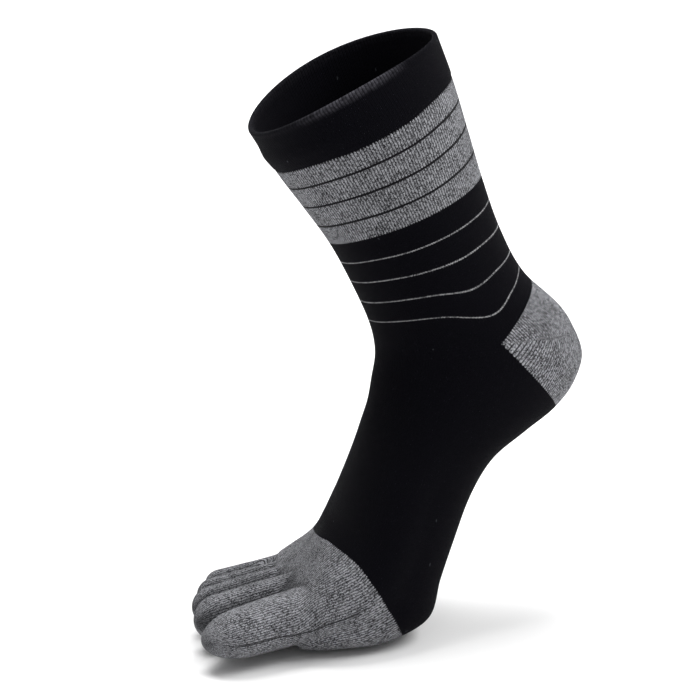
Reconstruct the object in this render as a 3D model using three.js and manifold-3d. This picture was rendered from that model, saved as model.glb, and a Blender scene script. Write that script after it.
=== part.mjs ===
// A knitted toe sock, held open in the shape of a foot standing on its toes.
// Millimetres. +Z is up, the toes point along -X and the little toe is on the +Y side.
// The origin is the middle of the cuff's mouth.
import * as THREE from 'three'
import { mergeVertices } from 'three/addons/utils/BufferGeometryUtils.js'
import Module from 'manifold-3d'

const wasm = await Module()
wasm.setup()

// Named sizes
const FOOT_LENGTH = 250
const FOOT_WIDTH = 98
const CLOTH_WALL = 1.5
const CUFF_WALL = 2.4
const PIECE_GAP = 0.3
const NOSE = 5
const ROOT_SCALE = 0.7

// How the sock's own upright plane leans and turns as it stands on its toes, in degrees
const LEAN = -12.9
const TURN = -12.3

// Mesh fineness
const AROUND = 32
const TOE_AROUND = 16
const LEG_STEP = 15
const FOOT_STEP = 8

// Sections down the leg and along the foot, from the cuff's rim to the roots of the toes.
// front and back are where the section meets the shin or the top of the foot, and the calf, heel
// or sole: ahead of the ankle's middle is minus, as shares of FOOT_LENGTH. width is a share of
// FOOT_WIDTH, side moves the section's middle to the little toe's side. flat is the exponent of
// the back half (2 is an ellipse), ridge moves the top line to the big toe's side, as a share of
// the half width. roll and skew are the degrees by which the little toe's side goes up and back,
// rise lifts both sides up the leg, as a share of FOOT_LENGTH.
const SECTIONS = [
  { name: 'rim', frontX: -0.243, frontZ: 0.434, backX: 0.134, backZ: 0.589, width: 1.03, side: 0.01, flat: 2, ridge: 0, roll: -6, skew: 4, rise: 0.019 },
  { name: 'cuff_end', frontX: -0.19, frontZ: 0.344, backX: 0.156, backZ: 0.5, width: 0.95, side: 0, flat: 2, ridge: 0, roll: 0, skew: 0, rise: 0.002 },
  { name: 'calf', frontX: -0.143, frontZ: 0.274, backX: 0.181, backZ: 0.4, width: 0.87, side: 0, flat: 2, ridge: 0, roll: 0, skew: 0, rise: 0 },
  { name: 'band_end', frontX: -0.097, frontZ: 0.202, backX: 0.205, backZ: 0.304, width: 0.785, side: 0, flat: 2, ridge: 0, roll: 0, skew: 0, rise: 0 },
  { name: 'low_leg', frontX: -0.061, frontZ: 0.126, backX: 0.234, backZ: 0.209, width: 0.735, side: 0, flat: 2, ridge: 0, roll: 0, skew: 0, rise: 0 },
  { name: 'ankle', frontX: -0.031, frontZ: 0.048, backX: 0.277, backZ: 0.122, width: 0.695, side: 0, flat: 1.9, ridge: 0, roll: 0, skew: 0, rise: 0 },
  { name: 'heel_top', frontX: -0.023, frontZ: -0.011, backX: 0.365, backZ: 0.017, width: 0.695, side: 0, flat: 1.9, ridge: 0, roll: 0, skew: 0, rise: 0 },
  { name: 'heel_point', frontX: -0.026, frontZ: -0.03, backX: 0.387, backZ: -0.049, width: 0.685, side: 0, flat: 1.9, ridge: 0, roll: 0, skew: 0, rise: 0 },
  { name: 'heel_pad', frontX: -0.034, frontZ: -0.06, backX: 0.369, backZ: -0.104, width: 0.675, side: 0, flat: 2, ridge: 0, roll: 0, skew: 0, rise: 0 },
  { name: 'heel_end', frontX: -0.045, frontZ: -0.098, backX: 0.326, backZ: -0.148, width: 0.675, side: 0, flat: 2.1, ridge: 0.05, roll: 1, skew: 0, rise: 0 },
  { name: 'instep', frontX: -0.062, frontZ: -0.138, backX: 0.259, backZ: -0.186, width: 0.695, side: 0, flat: 2.2, ridge: 0.1, roll: 2, skew: 1, rise: 0 },
  { name: 'arch', frontX: -0.087, frontZ: -0.187, backX: 0.18, backZ: -0.229, width: 0.725, side: 0, flat: 2.3, ridge: 0.2, roll: 4, skew: 3, rise: 0 },
  { name: 'waist', frontX: -0.112, frontZ: -0.235, backX: 0.125, backZ: -0.287, width: 0.775, side: 0, flat: 2.4, ridge: 0.3, roll: 6, skew: 5, rise: 0 },
  { name: 'ball_back', frontX: -0.131, frontZ: -0.278, backX: 0.085, backZ: -0.352, width: 0.84, side: 0, flat: 2.4, ridge: 0.35, roll: 8, skew: 8, rise: 0 },
  { name: 'ball', frontX: -0.146, frontZ: -0.306, backX: 0.045, backZ: -0.424, width: 0.9, side: 0, flat: 2.4, ridge: 0.4, roll: 11, skew: 12, rise: 0 },
  { name: 'ball_low', frontX: -0.151, frontZ: -0.315, backX: 0.024, backZ: -0.487, width: 0.95, side: 0.02, flat: 2.4, ridge: 0.42, roll: 12, skew: 16, rise: 0 },
  { name: 'forefoot_start', frontX: -0.157, frontZ: -0.325, backX: -0.034, backZ: -0.514, width: 1, side: 0.04, flat: 2.4, ridge: 0.45, roll: 13, skew: 19, rise: 0 },
  { name: 'forefoot', frontX: -0.188, frontZ: -0.362, backX: -0.12, backZ: -0.518, width: 1.03, side: 0.085, flat: 2.7, ridge: 0.5, roll: 13, skew: 19, rise: 0 },
  { name: 'toe_roots', frontX: -0.22, frontZ: -0.394, backX: -0.176, backZ: -0.516, width: 1.02, side: 0.12, flat: 3, ridge: 0.5, roll: 13, skew: 17, rise: 0 },
  { name: 'webs', frontX: -0.245, frontZ: -0.426, backX: -0.222, backZ: -0.512, width: 0.92, side: 0.125, flat: 3, ridge: 0.4, roll: 13, skew: 15, rise: 0 }
]

// The five toe tubes, standing on the floor. rootX and tipX are shares of FOOT_LENGTH ahead of the
// ankle (minus), rootY and tipY shares of FOOT_WIDTH to the little toe's side. Widths and heights
// are shares of FOOT_WIDTH, lift is the underside's height above the floor at the root, and free
// is how much of the toe, as a share of FOOT_LENGTH, stands clear of the forefoot.
const FLOOR_SHARE = -0.504
const TOES = [
  { name: 'big_toe', rootX: -0.19, rootY: -0.366, tipX: -0.486, tipY: -0.377, rootWidth: 0.31, tipWidth: 0.286, rootHeight: 0.3, tipHeight: 0.25, lift: 0.02, free: 0.16 },
  { name: 'second_toe', rootX: -0.19, rootY: -0.115, tipX: -0.45, tipY: -0.13, rootWidth: 0.176, tipWidth: 0.17, rootHeight: 0.25, tipHeight: 0.2, lift: 0.01, free: 0.14 },
  { name: 'third_toe', rootX: -0.17, rootY: 0.061, tipX: -0.42, tipY: 0.044, rootWidth: 0.16, tipWidth: 0.156, rootHeight: 0.22, tipHeight: 0.18, lift: 0.01, free: 0.14 },
  { name: 'fourth_toe', rootX: -0.16, rootY: 0.221, tipX: -0.374, tipY: 0.205, rootWidth: 0.147, tipWidth: 0.143, rootHeight: 0.17, tipHeight: 0.155, lift: 0.01, free: 0.122 },
  { name: 'little_toe', rootX: -0.15, rootY: 0.362, tipX: -0.314, tipY: 0.358, rootWidth: 0.132, tipWidth: 0.139, rootHeight: 0.13, tipHeight: 0.136, lift: 0.03, free: 0.088 }
]

// The wedge of the heel pocket in side view: its corner below the ankle as shares of FOOT_LENGTH,
// and the slopes of its upper and lower edges, in degrees. corner is the same corner's place
// between the sections heel_top and heel_point, where the ankle's knitting gives way to the foot's.
const HEEL = { cornerX: 0.182, cornerZ: -0.004, up: 45.5, down: 47.5, corner: 0.18 }

const columns = Object.keys(SECTIONS[0]).filter(key => key !== 'name')
const stations = lengthsAlong()

// Length along the sock's middle line at which each section of the table stands
function lengthsAlong () {
  const lengths = [0]
  for (let i = 1; i < SECTIONS.length; i++) {
    const a = SECTIONS[i - 1]
    const b = SECTIONS[i]
    const front = Math.hypot(b.frontX - a.frontX, b.frontZ - a.frontZ)
    const back = Math.hypot(b.backX - a.backX, b.backZ - a.backZ)
    lengths.push(lengths[i - 1] + FOOT_LENGTH * (front + back) / 2)
  }
  return lengths
}

function stationOf (name) {
  return stations[SECTIONS.findIndex(section => section.name === name)]
}

// Slope of one column at row i, from its neighbours
function slope (column, i) {
  const last = SECTIONS.length - 1
  const before = Math.max(0, i - 1)
  const after = Math.min(last, i + 1)
  if (i === 0 || i === last) {
    return (SECTIONS[after][column] - SECTIONS[before][column]) / (stations[after] - stations[before])
  }
  const stepBefore = stations[i] - stations[before]
  const stepAfter = stations[after] - stations[i]
  const slopeBefore = (SECTIONS[i][column] - SECTIONS[before][column]) / stepBefore
  const slopeAfter = (SECTIONS[after][column] - SECTIONS[i][column]) / stepAfter
  return (slopeBefore * stepAfter + slopeAfter * stepBefore) / (stepBefore + stepAfter)
}

// The table's values at a length along the sock, on smooth cubic curves through the rows
function sectionAt (along) {
  let i = 0
  while (i < stations.length - 2 && along > stations[i + 1]) i++
  const step = stations[i + 1] - stations[i]
  const t = (along - stations[i]) / step
  const values = {}
  for (const column of columns) {
    const from = SECTIONS[i][column]
    const to = SECTIONS[i + 1][column]
    const startSlope = slope(column, i) * step
    const endSlope = slope(column, i + 1) * step
    values[column] = (2 * t ** 3 - 3 * t ** 2 + 1) * from + (t ** 3 - 2 * t ** 2 + t) * startSlope +
      (3 * t ** 2 - 2 * t ** 3) * to + (t ** 3 - t ** 2) * endSlope
  }
  return values
}

// Turns a point of the sock's own plane into the standing pose
const standing = new THREE.Matrix4().makeRotationZ(THREE.MathUtils.degToRad(TURN))
  .multiply(new THREE.Matrix4().makeRotationX(THREE.MathUtils.degToRad(LEAN)))

// A section's middle and its three directions: front to back, to the little toe's side and onward
function sectionFrame (along) {
  const row = sectionAt(along)
  const front = new THREE.Vector3(row.frontX, 0, row.frontZ).multiplyScalar(FOOT_LENGTH)
  const back = new THREE.Vector3(row.backX, 0, row.backZ).multiplyScalar(FOOT_LENGTH)
  const middle = front.clone().add(back).multiplyScalar(0.5)
  middle.y = row.side * FOOT_WIDTH
  const depth = back.clone().sub(front)
  const halfDepth = depth.length() / 2
  depth.normalize()
  const onward = new THREE.Vector3(depth.z, 0, -depth.x)
  const roll = THREE.MathUtils.degToRad(row.roll)
  const skew = THREE.MathUtils.degToRad(row.skew)
  const sideways = new THREE.Vector3(0, Math.cos(roll) * Math.cos(skew), 0)
    .addScaledVector(depth, -Math.sin(roll)).addScaledVector(onward, -Math.sin(skew))
  return { row, middle, depth, halfDepth, onward, sideways, halfWidth: row.width * FOOT_WIDTH / 2 }
}

// A closed ring of points round the sock: inset is how far inside the outer face it lies, onwardBy
// pushes it along the sock and scale draws it in round the middle
function ring (along, inset = 0, onwardBy = 0, scale = 1) {
  const frame = sectionFrame(along)
  const points = []
  for (let i = 0; i < AROUND; i++) {
    const angle = i / AROUND * 2 * Math.PI
    const backward = -Math.cos(angle)
    const sidewards = Math.sin(angle)
    const power = 2 / (backward < 0 ? 2 : frame.row.flat)
    const f = Math.sign(backward) * Math.abs(backward) ** power
    const g = Math.sign(sidewards) * Math.abs(sidewards) ** power - frame.row.ridge * Math.max(0, -f)
    points.push(frame.middle.clone()
      .addScaledVector(frame.depth, f * (frame.halfDepth - inset) * scale)
      .addScaledVector(frame.sideways, g * (frame.halfWidth - inset) * scale)
      .addScaledVector(frame.onward, onwardBy - frame.row.rise * FOOT_LENGTH * sidewards ** 2)
      .applyMatrix4(standing))
  }
  return points
}

// Rings at even steps between two lengths along the sock
function ringsBetween (from, to, step, inset = 0) {
  const count = Math.ceil((to - from) / step)
  return Array.from({ length: count + 1 }, (_, i) => ring(from + (to - from) * i / count, inset))
}

// Joins rings into a closed skin: the last ring runs on to the first, or both ends are filled
function skin (rings, endless) {
  const size = rings[0].length
  const points = rings.flat()
  const faces = []
  const bands = endless ? rings.length : rings.length - 1
  for (let i = 0; i < bands; i++) {
    const next = (i + 1) % rings.length
    for (let j = 0; j < size; j++) {
      const k = (j + 1) % size
      faces.push(i * size + j, i * size + k, next * size + j)
      faces.push(i * size + k, next * size + k, next * size + j)
    }
  }
  if (!endless) {
    for (const [start, turn] of [[0, 1], [(rings.length - 1) * size, -1]]) {
      const centre = new THREE.Vector3()
      for (let j = 0; j < size; j++) centre.addScaledVector(points[start + j], 1 / size)
      points.push(centre)
      for (let j = 0; j < size; j++) {
        const k = (j + 1) % size
        if (turn > 0) faces.push(points.length - 1, start + k, start + j)
        else faces.push(points.length - 1, start + j, start + k)
      }
    }
  }
  return solid(points, faces)
}

// A manifold solid from points and triangles, turned to face out
function solid (points, faces) {
  let volume = 0
  for (let i = 0; i < faces.length; i += 3) {
    const [a, b, c] = [points[faces[i]], points[faces[i + 1]], points[faces[i + 2]]]
    volume += a.dot(b.clone().cross(c))
  }
  if (volume < 0) {
    for (let i = 0; i < faces.length; i += 3) [faces[i + 1], faces[i + 2]] = [faces[i + 2], faces[i + 1]]
  }
  const geometry = new THREE.BufferGeometry().setFromPoints(points)
  geometry.setIndex(faces)
  const merged = mergeVertices(geometry, 1e-4)
  return new wasm.Manifold(new wasm.Mesh({
    numProp: 3,
    vertProperties: new Float32Array(merged.attributes.position.array),
    triVerts: new Uint32Array(merged.index.array)
  }))
}

// A hollow length of the sock with rounded lips at both ends
function tube (from, to, step, wall) {
  const outer = ringsBetween(from, to, step)
  const inner = ringsBetween(from, to, step, wall).reverse()
  return skin([...outer, ...inner], true)
}

// The heel's wedge as a block right through the sock, moved back by shift
function heelWedge (shift) {
  const reach = FOOT_LENGTH / 2
  const corner = new THREE.Vector2(HEEL.cornerX * FOOT_LENGTH + shift, HEEL.cornerZ * FOOT_LENGTH)
  const up = reach * Math.tan(THREE.MathUtils.degToRad(HEEL.up))
  const down = reach * Math.tan(THREE.MathUtils.degToRad(HEEL.down))
  const outline = [[0, 0], [reach, up], [reach, -down]]
  const sides = [-FOOT_WIDTH, FOOT_WIDTH].map(y => outline
    .map(([x, z]) => new THREE.Vector3(corner.x + x, y, corner.y + z).applyMatrix4(standing)))
  return skin(sides, false)
}

// A ring of points round a toe, at a length from its root
function toeRing (toe, along, inset = 0, scale = 1) {
  const root = new THREE.Vector2(toe.rootX * FOOT_LENGTH, toe.rootY * FOOT_WIDTH)
  const tip = new THREE.Vector2(toe.tipX * FOOT_LENGTH, toe.tipY * FOOT_WIDTH)
  const forward = tip.clone().sub(root).normalize()
  const t = along / tip.distanceTo(root)
  const halfWidth = THREE.MathUtils.lerp(toe.rootWidth, toe.tipWidth, t) * FOOT_WIDTH / 2
  const halfHeight = THREE.MathUtils.lerp(toe.rootHeight, toe.tipHeight, t) * FOOT_WIDTH / 2
  const middle = FLOOR_SHARE * FOOT_LENGTH + halfHeight + toe.lift * FOOT_WIDTH * (1 - t) ** 2
  const points = []
  for (let i = 0; i < TOE_AROUND; i++) {
    const angle = i / TOE_AROUND * 2 * Math.PI
    const across = Math.cos(angle) * (halfWidth - inset) * scale
    const height = Math.sin(angle) * (halfHeight - inset) * scale
    points.push(new THREE.Vector3(root.x + forward.x * along - forward.y * across,
      root.y + forward.y * along + forward.x * across, middle + height))
  }
  return points
}

function toeLength (toe) {
  return Math.hypot((toe.tipX - toe.rootX) * FOOT_LENGTH, (toe.tipY - toe.rootY) * FOOT_WIDTH)
}

// Rings from a length along the toe to its rounded tip
function toeRings (toe, from, inset = 0) {
  const end = toeLength(toe) - inset
  const round = toe.tipWidth * FOOT_WIDTH / 2
  const rings = []
  const steps = 4
  for (let i = 0; i < steps; i++) rings.push(toeRing(toe, from + (end - round - from) * i / steps, inset))
  for (const turn of [0, 22, 43, 62, 78]) {
    const angle = THREE.MathUtils.degToRad(turn)
    rings.push(toeRing(toe, end - round + round * Math.sin(angle), inset, Math.cos(angle)))
  }
  return rings
}

// One toe: a closed cup of cloth, open at its root
function toeCup (toe) {
  const from = toeLength(toe) - toe.free * FOOT_LENGTH
  const outer = skin(toeRings(toe, from), false)
  const inner = skin([toeRing(toe, from - 2 * CLOTH_WALL, CLOTH_WALL), ...toeRings(toe, from, CLOTH_WALL)], false)
  return outer.subtract(inner)
}

// The forefoot: the end of the foot's tube, closed by a rounded nose from which five short stubs
// of toe open
function forefoot () {
  const from = stationOf('forefoot_start') + PIECE_GAP / 2
  const to = stationOf('webs')
  const body = inset => {
    const start = inset > 0 ? from - 2 * CLOTH_WALL : from
    const nose = [[0.5, 0.88], [0.85, 0.6]].map(([push, scale]) => ring(to, inset, push * (NOSE - inset), scale))
    return skin([...ringsBetween(start, to, FOOT_STEP, inset), ...nose], false)
  }
  let outer = body(0)
  let inner = body(CLOTH_WALL)
  for (const toe of TOES) {
    const end = toeLength(toe) - toe.free * FOOT_LENGTH - PIECE_GAP
    const stub = [toeRing(toe, 0, 0, ROOT_SCALE), toeRing(toe, end / 2), toeRing(toe, end)]
    const bore = [toeRing(toe, -2 * CLOTH_WALL, CLOTH_WALL, ROOT_SCALE), toeRing(toe, end / 2, CLOTH_WALL),
      toeRing(toe, end + 2 * CLOTH_WALL, CLOTH_WALL)]
    outer = outer.add(skin(stub, false))
    inner = inner.add(skin(bore, false))
  }
  return outer.subtract(inner)
}

const mouth = sectionFrame(0).middle.clone().applyMatrix4(standing)

function mesh (name, manifold, material) {
  const { vertProperties, triVerts, numProp } = manifold.getMesh()
  const geometry = new THREE.BufferGeometry()
  const positions = new Float32Array(vertProperties.length / numProp * 3)
  for (let i = 0; i < positions.length / 3; i++) {
    positions.set(vertProperties.subarray(i * numProp, i * numProp + 3), i * 3)
  }
  geometry.setAttribute('position', new THREE.BufferAttribute(positions, 3))
  geometry.setIndex([...triVerts])
  geometry.translate(-mouth.x, -mouth.y, -mouth.z)
  geometry.computeVertexNormals()
  const piece = new THREE.Mesh(geometry, material)
  piece.name = name
  return piece
}

const blackKnit = () => new THREE.MeshStandardMaterial({ color: 0x0e0e13, roughness: 0.92, metalness: 0 })
const greyMarl = () => new THREE.MeshStandardMaterial({ color: 0x77787b, roughness: 0.95, metalness: 0 })

const wedgeShift = PIECE_GAP / 2 / Math.sin(THREE.MathUtils.degToRad(HEEL.up))
const heelCorner = THREE.MathUtils.lerp(stationOf('heel_top'), stationOf('heel_point'), HEEL.corner)
const ankleTube = tube(stationOf('band_end') + PIECE_GAP / 2, heelCorner - PIECE_GAP / 2, FOOT_STEP, CLOTH_WALL)
const footTube = tube(heelCorner + PIECE_GAP / 2, stationOf('forefoot_start') - PIECE_GAP / 2, FOOT_STEP, CLOTH_WALL)
const heelTube = tube(stationOf('low_leg'), stationOf('waist'), FOOT_STEP, CLOTH_WALL)

const group = new THREE.Group()
group.name = 'toe_sock'
group.add(
  mesh('cuff', tube(0, stationOf('cuff_end') - PIECE_GAP / 2, LEG_STEP / 2, CUFF_WALL), blackKnit()),
  mesh('leg_band', tube(stationOf('cuff_end') + PIECE_GAP / 2, stationOf('band_end') - PIECE_GAP / 2,
    LEG_STEP, CLOTH_WALL), greyMarl()),
  mesh('ankle', ankleTube.subtract(heelWedge(-wedgeShift)), blackKnit()),
  mesh('heel', heelTube.intersect(heelWedge(wedgeShift)), greyMarl()),
  mesh('foot', footTube.subtract(heelWedge(-wedgeShift)), blackKnit()),
  mesh('forefoot', forefoot(), greyMarl())
)
for (const toe of TOES) group.add(mesh(toe.name, toeCup(toe), greyMarl()))

export default group
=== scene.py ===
# %% [markdown]
# # A knitted toe sock
# The real sock is one knitted tube that bends at the heel and ends in five small closed tubes, one
# for each toe. It is shown open, in the shape that a foot gives it, standing on its toes. A knitting
# machine works in rings of stitches (courses) whose stitches line up in columns (wales), so every
# surface here is worked out as a function of the same two numbers: how far along the sock a point
# lies, and how far round it.

import bpy
import numpy as np
from mathutils import Matrix, Vector


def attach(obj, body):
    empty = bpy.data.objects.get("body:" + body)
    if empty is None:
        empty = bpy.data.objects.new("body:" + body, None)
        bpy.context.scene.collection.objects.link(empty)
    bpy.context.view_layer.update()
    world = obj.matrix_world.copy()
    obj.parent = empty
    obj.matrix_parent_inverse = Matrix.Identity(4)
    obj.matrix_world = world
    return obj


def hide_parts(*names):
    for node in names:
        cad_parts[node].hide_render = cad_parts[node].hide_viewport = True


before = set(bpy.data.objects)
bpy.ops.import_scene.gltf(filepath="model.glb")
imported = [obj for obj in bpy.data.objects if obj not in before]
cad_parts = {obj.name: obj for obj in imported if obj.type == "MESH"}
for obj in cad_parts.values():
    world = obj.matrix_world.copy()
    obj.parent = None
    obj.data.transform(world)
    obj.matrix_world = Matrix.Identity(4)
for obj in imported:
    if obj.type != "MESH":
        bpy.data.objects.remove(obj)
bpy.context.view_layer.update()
print("nodes in the frame:", sorted(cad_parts))

# %% [markdown]
# ## The camera
# A photographer stands well back with a long lens, so the sock shows almost no perspective. The
# camera looks a little down and from the side of the big toe. Its three directions are worked out
# from two angles, and it is aimed at a point beside the ankle.

# %% Camera
MM = 0.001
ANKLE = np.array([7.03, -31.73, -124.43])
VIEW_TURN, VIEW_RISE = np.radians(-30.0), np.radians(19.0)
VIEW_DISTANCE = 1867.0
AIM_RIGHT, AIM_UP = -18.04, -2.87
LENS, SENSOR_WIDTH = 200.0, 36.0

view_right = np.array([np.cos(VIEW_TURN), np.sin(VIEW_TURN), 0.0])
view_back = np.array([
    np.sin(VIEW_TURN) * np.cos(VIEW_RISE), -np.cos(VIEW_TURN) * np.cos(VIEW_RISE), np.sin(VIEW_RISE),
])
view_up = np.cross(view_back, view_right)
eye = ANKLE + AIM_RIGHT * view_right + AIM_UP * view_up + VIEW_DISTANCE * view_back

lens = bpy.data.cameras.new("camera")
lens.lens, lens.sensor_width = LENS, SENSOR_WIDTH
camera = bpy.data.objects.new("camera", lens)
turn = Matrix(np.column_stack([view_right, view_up, view_back]).tolist()).to_4x4()
camera.matrix_world = Matrix.Translation(Vector((eye * MM).tolist())) @ turn
bpy.context.scene.collection.objects.link(camera)
bpy.context.scene.camera = camera
print("camera at", np.round(eye), "mm")

# %% [markdown]
# ## The shape of the tube
# A knitter would measure a foot at a few places and let the cloth stretch smoothly between them.
# The table below does that: each row is one section, given by where it meets the front and the back
# of the leg or foot, and how wide it is. Lengths are shares of the foot's length or width, so the
# whole sock follows two numbers. The other columns shape a section: side moves it to the little
# toe's side, flat is the exponent of its back half, ridge moves its top line to the big toe's side,
# roll and skew are the degrees by which it leans and turns, and rise lifts its two sides.

# %% Sections of the leg and foot
FOOT_LENGTH = 250.0
FOOT_WIDTH = 98.0
SECTION_NAMES = [
    "rim", "cuff_end", "calf", "band_end", "low_leg", "ankle", "heel_top", "heel_point", "heel_pad",
    "heel_end", "instep", "arch", "waist", "ball_back", "ball", "ball_low", "forefoot_start",
    "forefoot", "toe_roots", "webs",
]
# front_x front_z back_x back_z width side flat ridge roll skew rise
SECTIONS = np.array([
    [-0.243, 0.43, 0.132, 0.597, 1.03, 0.01, 2, 0, -6, 4, 0.019],
    [-0.19, 0.344, 0.156, 0.5, 0.95, 0, 2, 0, 0, 0, 0.002],
    [-0.143, 0.274, 0.181, 0.4, 0.87, 0, 2, 0, 0, 0, 0],
    [-0.097, 0.202, 0.205, 0.304, 0.785, 0, 2, 0, 0, 0, 0],
    [-0.061, 0.126, 0.234, 0.209, 0.735, 0, 2, 0, 0, 0, 0],
    [-0.031, 0.048, 0.277, 0.122, 0.695, 0, 1.9, 0, 0, 0, 0],
    [-0.023, -0.011, 0.368, 0.017, 0.695, 0, 1.9, 0, 0, 0, 0],
    [-0.026, -0.03, 0.39, -0.049, 0.685, 0, 1.9, 0, 0, 0, 0],
    [-0.034, -0.06, 0.369, -0.104, 0.675, 0, 2, 0, 0, 0, 0],
    [-0.045, -0.098, 0.326, -0.148, 0.675, 0, 2.1, 0.05, 1, 0, 0],
    [-0.062, -0.138, 0.259, -0.186, 0.695, 0, 2.2, 0.1, 2, 1, 0],
    [-0.085, -0.187, 0.18, -0.229, 0.725, 0, 2.3, 0.2, 4, 3, 0],
    [-0.11, -0.235, 0.125, -0.287, 0.775, 0, 2.4, 0.3, 6, 5, 0],
    [-0.131, -0.278, 0.085, -0.352, 0.84, 0, 2.4, 0.35, 8, 8, 0],
    [-0.146, -0.306, 0.049, -0.424, 0.9, 0.006, 2.4, 0.4, 11, 12, 0],
    [-0.159, -0.317, 0.032, -0.487, 0.945, 0.014, 2.4, 0.42, 12, 16, 0],
    [-0.166, -0.33, -0.03, -0.516, 0.985, 0.026, 2.4, 0.45, 13, 19, 0],
    [-0.184, -0.37, -0.12, -0.519, 1.02, 0.08, 2.7, 0.5, 13, 19, 0],
    [-0.212, -0.403, -0.176, -0.516, 1.01, 0.118, 3, 0.5, 13, 17, 0],
    [-0.245, -0.431, -0.222, -0.512, 0.93, 0.12, 3, 0.4, 13, 15, 0],
])


def stations_of(table):
    """Length along the middle line at each row: the mean of the steps of the front and back lines."""
    steps = np.diff(table[:, :4], axis=0) * FOOT_LENGTH
    front, back = np.hypot(steps[:, 0], steps[:, 1]), np.hypot(steps[:, 2], steps[:, 3])
    return np.concatenate([[0], np.cumsum((front + back) / 2)])


STATIONS = stations_of(SECTIONS)
STATION = dict(zip(SECTION_NAMES, STATIONS))
print("the sock's middle line is", round(STATIONS[-1]), "mm long")

# %% [markdown]
# Between two rows the values follow a cubic curve. Its slope at a row is the mean of the slopes on
# both sides, weighted so that the shorter step counts more, which keeps the curve from swinging.

# %% Smooth values between the sections


def slopes_of(table, at):
    """Slope of every column at every row: neighbouring slopes weighted by each other's step."""
    step = np.diff(at)[:, None]
    slope = np.diff(table, axis=0) / step
    inner = (slope[:-1] * step[1:] + slope[1:] * step[:-1]) / (step[:-1] + step[1:])
    return np.vstack([slope[:1], inner, slope[-1:]])


def smooth_rows(at, rows, where):
    """A table's columns at any places between its rows, on cubic Hermite curves through the rows."""
    where, slopes = np.asarray(where, float), slopes_of(rows, at)
    i = np.clip(np.searchsorted(at, where, side="right") - 1, 0, len(at) - 2)
    step = (at[i + 1] - at[i])[..., None]
    t = (where - at[i])[..., None] / step
    start = (2 * t**3 - 3 * t**2 + 1) * rows[i] + (t**3 - 2 * t**2 + t) * step * slopes[i]
    end = (3 * t**2 - 2 * t**3) * rows[i + 1] + (t**3 - t**2) * step * slopes[i + 1]
    return start + end


def section_values(along):
    """The sections' columns at any lengths along the sock, as one array for each column."""
    return np.moveaxis(smooth_rows(STATIONS, SECTIONS, along), -1, 0)


halfway = section_values(STATIONS[-1] / 2)
print("halfway down, a section is", round(float(halfway[4]), 2), "of the foot's width")

# %% [markdown]
# Each section is a rounded ring. Its front half is half an ellipse, and its back half may be squarer,
# like the sole of a foot. The foot leans and turns a little as it stands on its toes, and that one
# turn is put on every point at the end.

# %% The ring at a length along the sock
LEAN, TURN = np.radians(-12.9), np.radians(-12.3)
STANDING = np.array(Matrix.Rotation(TURN, 3, "Z") @ Matrix.Rotation(LEAN, 3, "X"))


def section_frame(along):
    """Middle of a section, half its depth and width, and its depth, onward and sideways directions."""
    front_x, front_z, back_x, back_z, width, side, flat, ridge, roll, skew, rise = section_values(along)
    zero = np.zeros_like(front_x)
    front = np.stack([front_x, zero, front_z], -1) * FOOT_LENGTH
    back = np.stack([back_x, zero, back_z], -1) * FOOT_LENGTH
    middle = (front + back) / 2 + np.stack([zero, side * FOOT_WIDTH, zero], -1)
    depth = back - front
    half_depth = np.linalg.norm(depth, axis=-1) / 2
    depth = depth / (2 * half_depth[..., None])
    onward = np.stack([depth[..., 2], zero, -depth[..., 0]], -1)
    roll, skew = np.radians(roll)[..., None], np.radians(skew)[..., None]
    across = np.array([0.0, 1.0, 0.0]) * np.cos(roll) * np.cos(skew)
    sideways = across - np.sin(roll) * depth - np.sin(skew) * onward
    half_width, rise = width * FOOT_WIDTH / 2, rise * FOOT_LENGTH
    return middle, half_depth, half_width, depth, onward, sideways, flat, ridge, rise


RIDGE_ROUNDING = 0.02


def front_part(f):
    """The share of f that lies to the front, with a rounded corner where it reaches nought."""
    return (np.sqrt(f * f + RIDGE_ROUNDING) - f) / 2


def ring_share(angle, flat, ridge):
    """Shares of half depth and half width round a ring: powers of cosine and sine, front at angle 0."""
    backward, sidewards = -np.cos(angle), np.sin(angle)
    power = 2 / np.where(backward < 0, 2, flat)
    f = np.sign(backward) * np.abs(backward) ** power
    g = np.sign(sidewards) * np.abs(sidewards) ** power
    return f, g - ridge * front_part(f)


def stand_up(points):
    """Turns points of the foot's own plane into the standing pose, from the ankle's middle."""
    return points @ STANDING.T


MOUTH = stand_up(section_frame(np.array(0.0))[0])


def tube_point(along, angle, outward=0.0, onward_by=0.0):
    """Points of the tube in mm: middle + depth share + width share, pushed out or onward if asked."""
    along, angle = np.broadcast_arrays(np.asarray(along, float), np.asarray(angle, float))
    middle, half_depth, half_width, depth, onward, sideways, flat, ridge, rise = section_frame(along)
    f, g = ring_share(angle, flat, ridge)
    push = onward_by - rise * np.sin(angle) ** 2
    points = middle + depth * (f * (half_depth + outward))[..., None]
    points = points + sideways * (g * (half_width + outward))[..., None] + onward * push[..., None]
    return stand_up(points) - MOUTH


print("mouth's middle above the ankle:", np.round(MOUTH, 1), "mm")

# %% [markdown]
# ## Stitch coordinates
# A pattern on knitted cloth has to follow its stitches. A sock machine has the same number of
# needles all the way down, so the number of wales round the leg never changes, and each wale gets
# wider or narrower with the leg. The wale number of a point is its share of the way round, measured
# along the cloth. The course of a point is its length along the sock, counted down the front.

# %% Wales round the tube
WALES = 184
WALE_ALONG = np.linspace(0, STATIONS[-1], 140)
WALE_ANGLE = np.linspace(-np.pi, np.pi, 361)


def wale_table():
    """Wale numbers on a grid: the running length of chords round each ring, as a share of its whole."""
    rings = tube_point(WALE_ALONG[:, None], WALE_ANGLE[None, :])
    chords = np.linalg.norm(np.diff(rings, axis=1), axis=-1)
    running = np.concatenate([np.zeros((len(rings), 1)), np.cumsum(chords, axis=1)], axis=1)
    return WALES * running / running[:, -1:], running[:, -1]


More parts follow.
